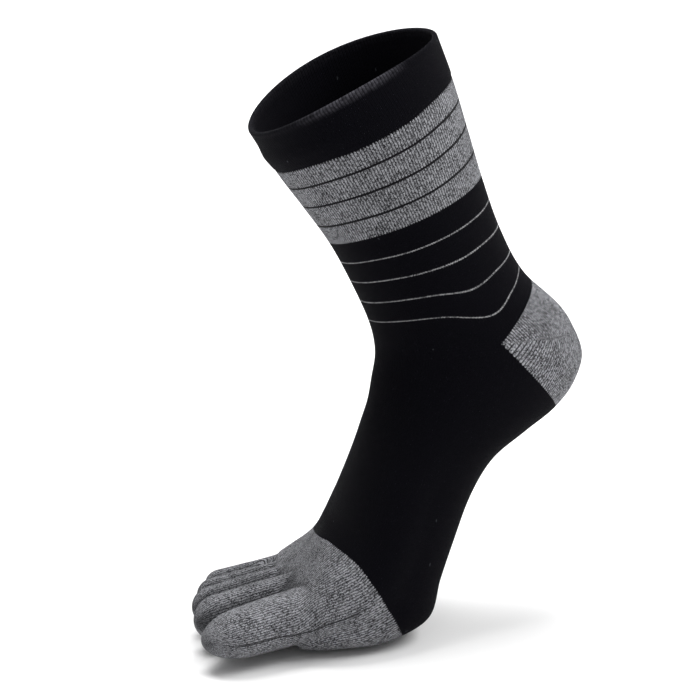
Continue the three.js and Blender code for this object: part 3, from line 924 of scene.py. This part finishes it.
def stitch_numbers(points):
    """Wales for the upper and lower side, the course, the toe (-1 on the foot) and the side."""
    wale, course = wale_of(skin_along, skin_angle), skin_along - forefoot_edge(skin_angle)
    wales = np.stack([wale, (wale + WALES / 2) % WALES])
    low = np.abs(skin_angle) > FOOT_LOW
    places, nearest = toe_places(points)
    region = np.full(len(points), -1)
    for k, (toe, (along, turn, _)) in enumerate(zip(TOE_LIST, places)):
        start = toe["start"]
        mine = (nearest == k) & (along > start - ROOT_BLEND)
        region[mine & (along > start)] = k
        root = mine & (along < start - ROOT_SHARE * ROOT_BLEND)
        low[mine] = ((turn > (TOE_LOW if k else BIG_TOE_LOW)) | (turn < -TOE_LOW))[mine]
        weight = ease(along[mine], start - ROOT_BLEND, start)
        half_width, half_height, _ = toe_size(toe, toe["length"] / 2)
        over = np.clip((along - toe["length"]) / toe["round_end"] + 1, 0, 1)
        length = along + toe["round_end"] * (np.arcsin(over) - over)
        for side in range(2):
            arc = (turn - side * np.pi * np.sign(turn)) * (half_width + half_height) / 2
            known = root & (low == (side == 1)) & (np.abs(arc) < KNOWN_ARC)
            shift = np.median(wales[side][known] + WALES_PER_MM * arc[known])
            wales[side][mine] += weight * (shift - WALES_PER_MM * arc[mine] - wales[side][mine])
            first = np.median((course - length)[known])
            use, share = mine & (low == (side == 1)), weight[low[mine] == (side == 1)]
            course[use] += share * (length[use] + first - course[use])
    return wales, course, region, low


skin_wales, skin_course, skin_region, skin_low = stitch_numbers(skin)
print("points on each toe:", [int((skin_region == k).sum()) for k in range(5)])

# %% [markdown]
# The skin is now cut. A face belongs to a toe when most of its corners do, and faces behind the
# colour change are dropped. The points along each cut are then moved onto the cutting plane, so that
# the edges of the pieces are clean.

# %% Cutting the skin into pieces
CUT_REACH = 1.2 * VOXEL


def region_of_faces():
    """Toe index of each face, -1 on the foot and -2 behind the colour change."""
    regions = skin_region[skin_quads]
    votes = np.array([(regions == k).sum(1) for k in range(-1, 5)])
    faces = np.argmax(votes, axis=0) - 1
    return np.where((skin_along - forefoot_edge(skin_angle))[skin_quads].mean(1) < 0, -2, faces)


face_region = region_of_faces()


def snap_to_cuts(points):
    """Moves the points that both sides of a cut share onto the cutting plane."""
    points = points.copy()
    shared = np.intersect1d(skin_quads[face_region == -2], skin_quads[face_region != -2])
    points[shared] = tube_point(forefoot_edge(skin_angle[shared]), skin_angle[shared])
    for k, toe in enumerate(TOE_LIST):
        shared = np.intersect1d(skin_quads[face_region == k], skin_quads[face_region == -1])
        step = toe["start"] - toe_place(toe, points[shared])[0]
        step = step * (np.abs(step) < CUT_REACH)
        points[shared, :2] += step[:, None] * toe["forward"]
    return points


skin = snap_to_cuts(skin)
skin_normals = point_normals(skin, skin_quads)

# %% [markdown]
# In the webs and on the sides that the small toes turn to each other the marl gets painted shade,
# where the hollows and the neighbouring toes would shade it. The skin itself tells where a web is:
# a copy of it is smoothed much further, and where the copy lies outside the skin there is a hollow.
# The turn round each toe tells where its sides are.

# %% Painted shade in the hollows and between the toes
CREASE_STEPS = 200
# depths in mm and turns in radians from which and up to which the painted shade grows
HOLLOW_DEPTHS = (-0.2, 0.9)
SIDE_TURNS, SECOND_TOE_TURNS = (0.06, 0.55), (0.35, 1.1)
UNDERSIDE_TURNS, BIG_TOE_TURNS = (-2.6, -2.0), (-0.6, 0.3)
SIDE_FADE, SIDE_SHADE = 12, 0.8


def crease_depth(points, normals):
    """How many mm a much smoothed copy of the skin lies outside each point."""
    smooth = points
    for _ in range(CREASE_STEPS):
        smooth = smooth + STEP_IN * towards_mean(smooth)
    return np.sum((smooth - points) * normals, axis=1)


def crease_shade_of(points):
    """How much painted shade the cloth gets, from 0 to 1: hollows and sides of toes, less the big toe's near
    side.
    """
    crease_shade = ease(crease_depth(points, skin_normals), *HOLLOW_DEPTHS)
    places, nearest = toe_places(points)
    for k, (toe, (along, turn, _)) in enumerate(zip(TOE_LIST, places)):
        side = ease(np.abs(turn), *(SECOND_TOE_TURNS if k == 1 else SIDE_TURNS))
        side = side * ease(-np.abs(turn), *UNDERSIDE_TURNS)
        side = side * ease(along, toe["start"] - SIDE_FADE, toe["start"])
        mine = np.maximum(crease_shade, SIDE_SHADE * side) if k else crease_shade * ease(-turn, *BIG_TOE_TURNS)
        crease_shade = np.where(nearest == k, mine, crease_shade)
    return crease_shade


skin_crease_shade = crease_shade_of(skin)
print("share of the skin that is slack:", round(float((skin_crease_shade > 0.5).mean()), 3))

# %% Pieces of the skin


def skin_piece(name, region):
    """One piece of the melted skin with its inner face."""
    quads = skin_quads[face_region == region]
    used, local = np.unique(quads, return_inverse=True)
    local = local.reshape(-1, 4)
    lower = (skin_low[quads].sum(1) > 2).astype(int)[:, None]
    knit = np.stack([skin_wales[lower, quads], skin_course[quads]], -1)
    # the painted shade of each corner goes into the mesh as a second UV map
    crease_shade = np.stack([skin_crease_shade[quads], 0 * skin_crease_shade[quads]], -1)
    inner = skin[used] - skin_normals[used] * CLOTH_WALL
    return cloth(name, skin[used], local, {"knit": knit, "crease_shade": crease_shade}, inner, skin_normals[used])


forefoot = skin_piece("forefoot", -1)
toes = [skin_piece(name, k) for k, name in enumerate(TOE_NAMES)]
print("pieces of the skin:", forefoot.name, *[toe.name for toe in toes])

# %% [markdown]
# ## Yarn and stitches
# Plain knitting shows columns of small V shapes. Each V is one loop, and its two legs lean towards
# each other. The group below turns wale and course numbers into that relief. Across a wale there are
# two rounded legs with a shallow valley between them and a deep one to the next wale. Along the
# wale the loops follow one another, shifted down towards the outside of the wale, which makes the V.

# %% A small helper for shader nodes


class Graph:
    """Adds nodes to one node tree and links them."""

    def __init__(self, tree):
        self.tree = tree

    def put(self, socket, value):
        """Links an output to a socket, or sets the socket's own value."""
        if isinstance(value, bpy.types.NodeSocket):
            self.tree.links.new(value, socket)
        else:
            socket.default_value = value

    def node(self, kind, settings=None, values=(), **inputs):
        """A new node with its settings, its first inputs in order and other inputs by name."""
        node = self.tree.nodes.new(kind)
        for key, value in (settings or {}).items():
            setattr(node, key, value)
        for socket, value in zip(node.inputs, values):
            self.put(socket, value)
        for key, value in inputs.items():
            self.put(node.inputs[key.replace("_", " ")], value)
        return node

    def math(self, operation, *values):
        """One math node."""
        return self.node("ShaderNodeMath", {"operation": operation}, values).outputs[0]

    def times(self, first, *others):
        """Product of the values, two at a time."""
        for value in others:
            first = self.math("MULTIPLY", first, value)
        return first

    def plus(self, first, *others):
        """Sum of the values, two at a time."""
        for value in others:
            first = self.math("ADD", first, value)
        return first

    def minus(self, first, second):
        """The first value less the second."""
        return self.math("SUBTRACT", first, second)

    def between(self, value, low, high, to_low=0.0, to_high=1.0, smooth=False):
        """A range of one value turned into a range of another, with its ends held."""
        settings = {"interpolation_type": "SMOOTHSTEP" if smooth else "LINEAR"}
        return self.node("ShaderNodeMapRange", settings, (value, low, high, to_low, to_high)).outputs[0]

    def mix(self, share, first, second):
        """The first colour where the share is 0 and the second where it is 1."""
        node = self.node("ShaderNodeMix", {"data_type": "RGBA"}, [share])
        self.put(node.inputs[6], first)
        self.put(node.inputs[7], second)
        return node.outputs[2]

    def numbers(self, name):
        """The numbers that a piece carries for each point under a name, as one vector."""
        return self.node("ShaderNodeUVMap", {"uv_map": name}).outputs[0]

    def split(self, vector):
        """The parts of a vector."""
        return self.node("ShaderNodeSeparateXYZ", Vector=vector).outputs

    def noise(self, vector, scale, detail, roughness=0.5):
        """Soft noise in two directions of a vector."""
        return self.node(
            "ShaderNodeTexNoise", {"noise_dimensions": "2D"},
            Vector=vector, Scale=scale, Detail=detail, Roughness=roughness,
        ).outputs[0]

    def group(self, tree, **inputs):
        """Outputs of a node group with its inputs filled."""
        return self.node("ShaderNodeGroup", {"node_tree": tree}, **inputs).outputs


def new_group(name, inputs, outputs):
    """A shader node group with named sockets; returns its graph, its inputs and its output node."""
    group = bpy.data.node_groups.new(name, "ShaderNodeTree")
    for socket, kind, value in inputs:
        made = group.interface.new_socket(socket, in_out="INPUT", socket_type=kind)
        if value is not None:
            made.default_value = value
    for socket, kind in outputs:
        group.interface.new_socket(socket, in_out="OUTPUT", socket_type=kind)
    graph = Graph(group)
    return graph, graph.node("NodeGroupInput").outputs, graph.node("NodeGroupOutput").inputs


# %% The stitch group
FLOAT, VECTOR = "NodeSocketFloat", "NodeSocketVector"


def ridge(g, value, power):
    """A rounded ridge over values from 0 to 1, with its top in the middle: 1 - |2v - 1|^power."""
    away = g.math("ABSOLUTE", g.minus(g.times(value, 2.0), 1.0))
    return g.minus(1.0, g.math("POWER", away, power))


def stitch_group():
    """Relief, place across a leg, number and level of loops, from wale and course numbers."""
    g, given, gives = new_group(
        "knit_stitches",
        [("Knit", VECTOR, None), ("Course Pitch", FLOAT, 0.9), ("Lean", FLOAT, 0.6)],
        [("Height", FLOAT), ("Leg", FLOAT), ("Loop", VECTOR)],
    )
    wale, course, _ = g.split(given["Knit"])
    leg = g.times(g.math("ABSOLUTE", g.minus(g.math("FRACT", wale), 0.5)), 2.0)
    level = g.plus(g.math("DIVIDE", course, given["Course Pitch"]), g.times(leg, given["Lean"]))
    legs, loops = ridge(g, leg, 2.0), ridge(g, g.math("FRACT", level), 2.5)
    relief = g.times(legs, 0.65, g.between(loops, 0, 1, 0.45, 1.0))
    g.put(gives["Height"], g.plus(relief, g.between(leg, 0.0, 1.0, 0.35, 0.0)))
    g.put(gives["Leg"], leg)
    side = g.math("FLOOR", g.times(wale, 2.0))
    loop = g.node("ShaderNodeCombineXYZ", None, (side, g.math("FLOOR", level)))
    g.put(gives["Loop"], loop.outputs[0])
    return g.tree


STITCHES = stitch_group()
print("stitch group:", len(STITCHES.nodes), "nodes")

# %% [markdown]
# Marl yarn is spun or twisted from dark and light fibres, so each loop comes out a little lighter or
# darker than the next, and inside a loop fine streaks follow the yarn. The group mixes one random
# number for each loop with noise that is stretched along the wales.

# %% The marl group


def marl_group():
    """Share of light fibre at each spot: a random number per loop plus noise drawn out along wales."""
    g, given, gives = new_group(
        "marl_yarn",
        [("Knit", VECTOR, None), ("Loop", VECTOR, None), ("Contrast", FLOAT, 1.0)],
        [("Light", FLOAT), ("Chance", FLOAT)],
    )
    settings = {"noise_dimensions": "2D"}
    each_loop = g.node("ShaderNodeTexWhiteNoise", settings, Vector=given["Loop"]).outputs[0]
    drawn_out = g.node("ShaderNodeVectorMath", {"operation": "MULTIPLY"}, (given["Knit"], (1.0, 0.42, 1.0)))
    fibre = g.between(g.noise(drawn_out.outputs[0], 3.1, 3.0, 0.7), 0.3, 0.7)
    patch = g.minus(g.noise(given["Knit"], 0.11, 3.0), 0.5)
    total = g.plus(g.times(each_loop, 0.4), g.times(fibre, 0.6), g.times(patch, 0.22))
    g.put(gives["Light"], g.plus(g.times(g.minus(total, 0.5), given["Contrast"]), 0.5))
    g.put(gives["Chance"], each_loop)
    return g.tree


MARL = marl_group()
print("marl group:", len(MARL.nodes), "nodes")

# %% [markdown]
# A colour change between two courses isn't a straight edge: the loops of one colour reach up between
# the loops of the other, so the edge has small teeth. A thin line is a single course in another yarn.
# Both come from the same course number, moved by the place across the wale.

# %% Masks for lines and teeth
EDGE_SOFT = 0.08


def line_group():
    """1 inside thin lines that repeat at even steps between a first and a last course."""
    g, given, gives = new_group(
        "course_lines",
        [(name, FLOAT, 0.0) for name in ("Course", "First", "Step", "Count", "Half")],
        [("Line", FLOAT)],
    )
    steps = g.math("DIVIDE", g.minus(given["Course"], given["First"]), given["Step"])
    nearest = g.math("MAXIMUM", g.math("ROUND", steps), 0.0)
    nearest = g.math("MINIMUM", nearest, g.minus(given["Count"], 1.0))
    away = g.times(g.math("ABSOLUTE", g.minus(steps, nearest)), given["Step"])
    edge = g.minus(away, given["Half"])
    g.put(gives["Line"], g.between(edge, -EDGE_SOFT, EDGE_SOFT, 1.0, 0.0, smooth=True))
    return g.tree


LINES = line_group()
print("line group:", len(LINES.nodes), "nodes")

# %% [markdown]
# ## Materials
# The black yarn is nearly featureless: very dark, with a slight blue, a soft sheen from its fibres
# and a few specks of pale lint, and a painted highlight on the tops of its stitches. The grey marl is
# a mid grey with painted shade in the grooves between its wales. The material of a piece takes the
# stitch relief into a Bump node, mixes black, grey and pale yarn by its masks, and leaves gloss low.

# %% Knit material
# BLACK_YARN is the black in painted shade between the stitches, BLACK_LIT the black with a painted highlight
# on their tops
BLACK_YARN = (0.0015, 0.0014, 0.0027, 1)
BLACK_LIT = (0.0034, 0.0032, 0.0054, 1)
WORN_BLACK = (0.075, 0.073, 0.086, 1)
LINT = (0.035, 0.037, 0.042, 1)
MARL_DARK = (0.014, 0.014, 0.016, 1)
MARL_LIGHT = (0.44, 0.445, 0.475, 1)
PALE_YARN = (0.42, 0.42, 0.43, 1)
PALE_SHADE = (0.05, 0.05, 0.055, 1)
BUMP_DEPTH, RELIEF, FIBRE_RELIEF = 0.0006, 0.8, 0.25
MARL_CONTRAST, LINT_CHANCE = 2.1, 0.9998
LINE_HALF = {"marl": 0.6, "black": 0.26}
TEETH = 0.3
DARK_WALE = 50.0
SOCKETS = {
    "black": {"Specular IOR Level": 0.04, "Sheen Weight": 0.006},
    "marl": {"Specular IOR Level": 0.1, "Sheen Weight": 0.05},
}


def set_sockets(material, values):
    """Sets constants on the sockets of a material's own shader, which it returns."""
    material.use_nodes = True
    shader = material.node_tree.nodes["Principled BSDF"]
    for socket, value in values.items():
        shader.inputs[socket].default_value = value
    return shader


def worn_lip(g, knit, leg):
    """Share of worn yarn: along the fold of the rim, mostly on the side of the big toe, in ribs."""
    wale, course, _ = g.split(knit)
    near_rim = g.between(course, 0.8, 4.6, 1.0, 0.0, smooth=True)
    on_side = g.times(g.between(wale, 32.0, 44.0), g.between(wale, 58.0, 70.0, 1.0, 0.12))
    patch = g.between(g.noise(knit, 0.7, 2.0), 0.3, 0.6, 0.35, 1.0)
    return g.times(near_rim, on_side, g.times(patch, g.between(leg, 0.3, 1.0, 1.0, 0.25)))


def dark_wale_line(g):
    """Share of light left on a dark line along a few wales, from the ball of the foot to the big toe's tip.
    """
    wale, course, _ = g.split(g.numbers("knit"))
    line = g.plus(DARK_WALE, g.between(course, 24.0, 60.0, 0.0, 4.5, smooth=True))
    away = g.math("ABSOLUTE", g.minus(wale, line))
    ends = g.times(g.between(course, 4.0, 12.0), g.between(course, 74.0, 84.0, 1.0, 0.0))
    return g.minus(1.0, g.times(g.between(away, 0.25, 0.6, 0.8, 0.0, smooth=True), ends))


def crease_shade_left(g):
    """Share of light left under the painted shade in the hollows and on the sides of the toes."""
    return g.between(g.split(g.numbers("crease_shade"))[0], 0.0, 1.0, 1.0, 0.35)


def knit_material(name, ground, lines=None, teeth=(), shades=()):
    """Cloth of one piece: ground is black or marl; lines are (first, step, count), teeth black."""
    material = bpy.data.materials.new(name)
    shader = set_sockets(material, SOCKETS[ground] | {"Roughness": 0.9, "Sheen Roughness": 0.5})
    g = Graph(material.node_tree)
    knit = g.numbers("knit")
    stitch = g.group(STITCHES, Knit=knit)
    leg = stitch["Leg"]
    yarn = g.group(MARL, Knit=knit, Loop=stitch["Loop"], Contrast=MARL_CONTRAST)
    light, course = yarn["Light"], g.split(knit)[1]
    # painted highlight and shade: the black goes from BLACK_YARN in the hollows of the relief to BLACK_LIT on
    # the tops of the stitches
    black = g.mix(stitch["Height"], BLACK_YARN, BLACK_LIT)
    if name == "cuff_welt":
        black = g.mix(worn_lip(g, knit, leg), black, WORN_BLACK)
    colour = black = g.mix(g.math("GREATER_THAN", yarn["Chance"], LINT_CHANCE), black, LINT)
    if ground == "marl":
        # painted shade: the grey is darkened towards the grooves between the wales, and further by each of
        # the piece's shades
        light_left = g.between(leg, 0.45, 1.0, 1.0, 0.0, smooth=True)
        light_left = g.times(light_left, *[shade(g) for shade in shades])
        colour = g.mix(g.times(g.between(light, 0.0, 1.0), light_left), MARL_DARK, MARL_LIGHT)
    if lines:
        first, step, count = lines
        other = black if ground == "marl" else g.mix(g.between(light, 0.1, 0.8), PALE_SHADE, PALE_YARN)
        mask = g.group(
            LINES, Course=g.plus(course, g.times(leg, TEETH)), First=first + TEETH / 2,
            Step=step, Count=count, Half=LINE_HALF[ground],
        )["Line"]
        colour = g.mix(mask, colour, other)
    for start, reach, side in teeth:
        beyond = g.times(g.minus(g.minus(course, start), g.times(leg, reach)), side)
        colour = g.mix(g.between(beyond, -0.1, 0.1, 1.0, 0.0, smooth=True), colour, black)
    g.put(shader.inputs["Base Color"], colour)
    height = g.plus(stitch["Height"], g.times(light, FIBRE_RELIEF))
    bump = g.node("ShaderNodeBump", Height=height, Strength=RELIEF, Distance=BUMP_DEPTH)
    g.put(shader.inputs["Normal"], bump.outputs[0])
    return material


# thin lines: their first course, step and count
BAND_LINES, ANKLE_LINES = (34.4, 12.6, 3.0), (82.4, 11.25, 4.0)
# teeth: their course, how far they reach and the side on which the black lies
BAND_TEETH = [(CUFF_COURSE, 1.1, 1), (BAND_COURSE, -0.6, -1)]
DARK_LINE_AND_SHADE = (dark_wale_line, crease_shade_left)
FINISH = {
    "cuff": knit_material("cuff_welt", "black"),
    "leg_band": knit_material("band_marl", "marl", BAND_LINES, BAND_TEETH),
    "ankle": knit_material("ankle_black", "black", ANKLE_LINES),
    "heel": knit_material("heel_marl", "marl", None, [(0.0, 0.6, 1)]),
    "foot": knit_material("foot_black", "black"),
    "forefoot": knit_material("forefoot_marl", "marl", None, [(0.0, 0.8, 1)], DARK_LINE_AND_SHADE),
}
for name in TOE_NAMES:
    shades = DARK_LINE_AND_SHADE if name == "big_toe" else [crease_shade_left]
    FINISH[name] = knit_material(name + "_marl", "marl", shades=shades)
for piece in [cuff, leg_band, ankle, heel, foot, forefoot, *toes]:
    piece.data.materials.append(FINISH[piece.name.removesuffix("_knit")])
print("materials:", len(FINISH))

# %% [markdown]
# ## Studio
# The sock stands on a plain white floor that runs up behind it, in soft light from large lamps, so
# the black cloth keeps only a faint edge of light and the shadows are weak.

# %% Floor and light
FLOOR_GAP = 0.3
FLOOR_Z = float(skin[:, 2].min()) - FLOOR_GAP
LAMP_DISTANCE = 1000


def studio_floor():
    """A flat floor that curves up into a wall behind: a profile of two lines joined by an arc."""
    bend = np.linspace(0, np.pi / 2, 24)
    radius, front_edge, back_edge, top = 900.0, -2600.0, 2200.0, 3500.0
    run = np.concatenate([[front_edge], back_edge - radius + radius * np.sin(bend), [back_edge]])
    rise = np.concatenate([[0], radius - radius * np.cos(bend), [top]])
    side = np.array([-3500.0, 3500.0])
    away = -view_back * np.array([1, 1, 0])
    away, across = away / np.linalg.norm(away), view_right
    points = run[:, None, None] * away + side[None, :, None] * across
    points = points + rise[:, None, None] * np.array([0, 0, 1.0]) + np.array([0, 0, FLOOR_Z])
    quads = grid_faces(len(run), 2, False)[:, ::-1]
    mesh = mesh_of("floor", points.reshape(-1, 3), quads, {}, np.ones(len(quads), bool))
    floor = bpy.data.objects.new("floor", mesh)
    bpy.context.scene.collection.objects.link(floor)
    return floor


floor = studio_floor()
paper = bpy.data.materials.new("white_paper")
set_sockets(paper, {"Base Color": (0.94, 0.94, 0.94, 1), "Roughness": 1.0, "Specular IOR Level": 0.0})
floor.data.materials.append(paper)


def lamp(name, direction, size, power):
    """A square area lamp that looks at the sock's ankle from a direction given in the camera's axes."""
    data = bpy.data.lights.new(name, "AREA")
    data.size, data.energy = size, power
    right, up, back = direction
    ray = right * view_right + up * view_up + back * view_back
    spot = Vector(((ANKLE + ray * LAMP_DISTANCE) * MM).tolist())
    lit = bpy.data.objects.new(name, data)
    lit.location = spot
    lit.rotation_euler = (spot - Vector((ANKLE * MM).tolist())).to_track_quat("Z", "Y").to_euler()
    bpy.context.scene.collection.objects.link(lit)


lamp("key", direction=(1.3, 1.4, 0.5), size=1.1, power=28)
lamp("top", direction=(-0.3, 1.9, -0.1), size=1.3, power=46)
world = bpy.data.worlds.new("soft_white")
world.use_nodes = True
backdrop = world.node_tree.nodes["Background"]
backdrop.inputs["Color"].default_value = (1, 1, 1, 1)
backdrop.inputs["Strength"].default_value = 0.38
bpy.context.scene.world = world
bpy.context.scene.view_settings.view_transform = "Standard"
print("floor at", round(FLOOR_Z, 1), "mm")
